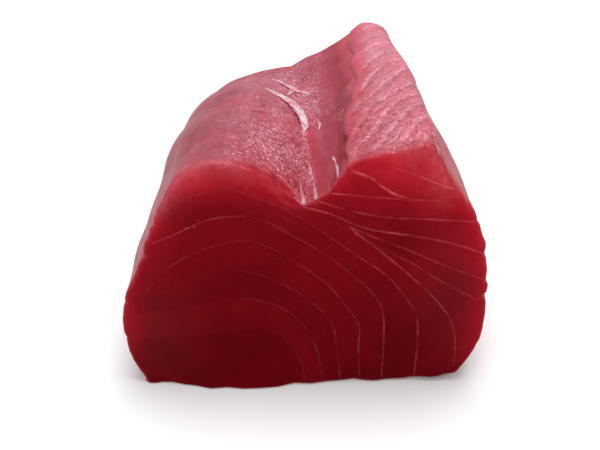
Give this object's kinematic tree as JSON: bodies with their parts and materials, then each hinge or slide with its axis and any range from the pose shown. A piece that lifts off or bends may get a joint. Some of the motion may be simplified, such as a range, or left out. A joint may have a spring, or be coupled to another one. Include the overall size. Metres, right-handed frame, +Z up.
{
  "type": "raw tuna loin",
  "caption": "Raw deep red fish loin block with a rounded lobe, a taller ridge, a stepped groove between them and two straight cut faces.",
  "frame": {"origin": "centre of the block's outer box, on the plane of its flat underside", "axes": "+Z up out of the underside, +Y along the loin away from the near cut face, +X to the right towards the tall ridge"},
  "size_m": [0.1218, 0.1316, 0.0894],
  "materials": {
    "raw_flesh": "wet raw fish flesh: glossy deep red cut faces with fine pale membrane lines, dusty pink frosted membrane on the outside"
  },
  "bodies": {
    "root": {"loin": "raw_flesh"}
  },
  "joints": []
}
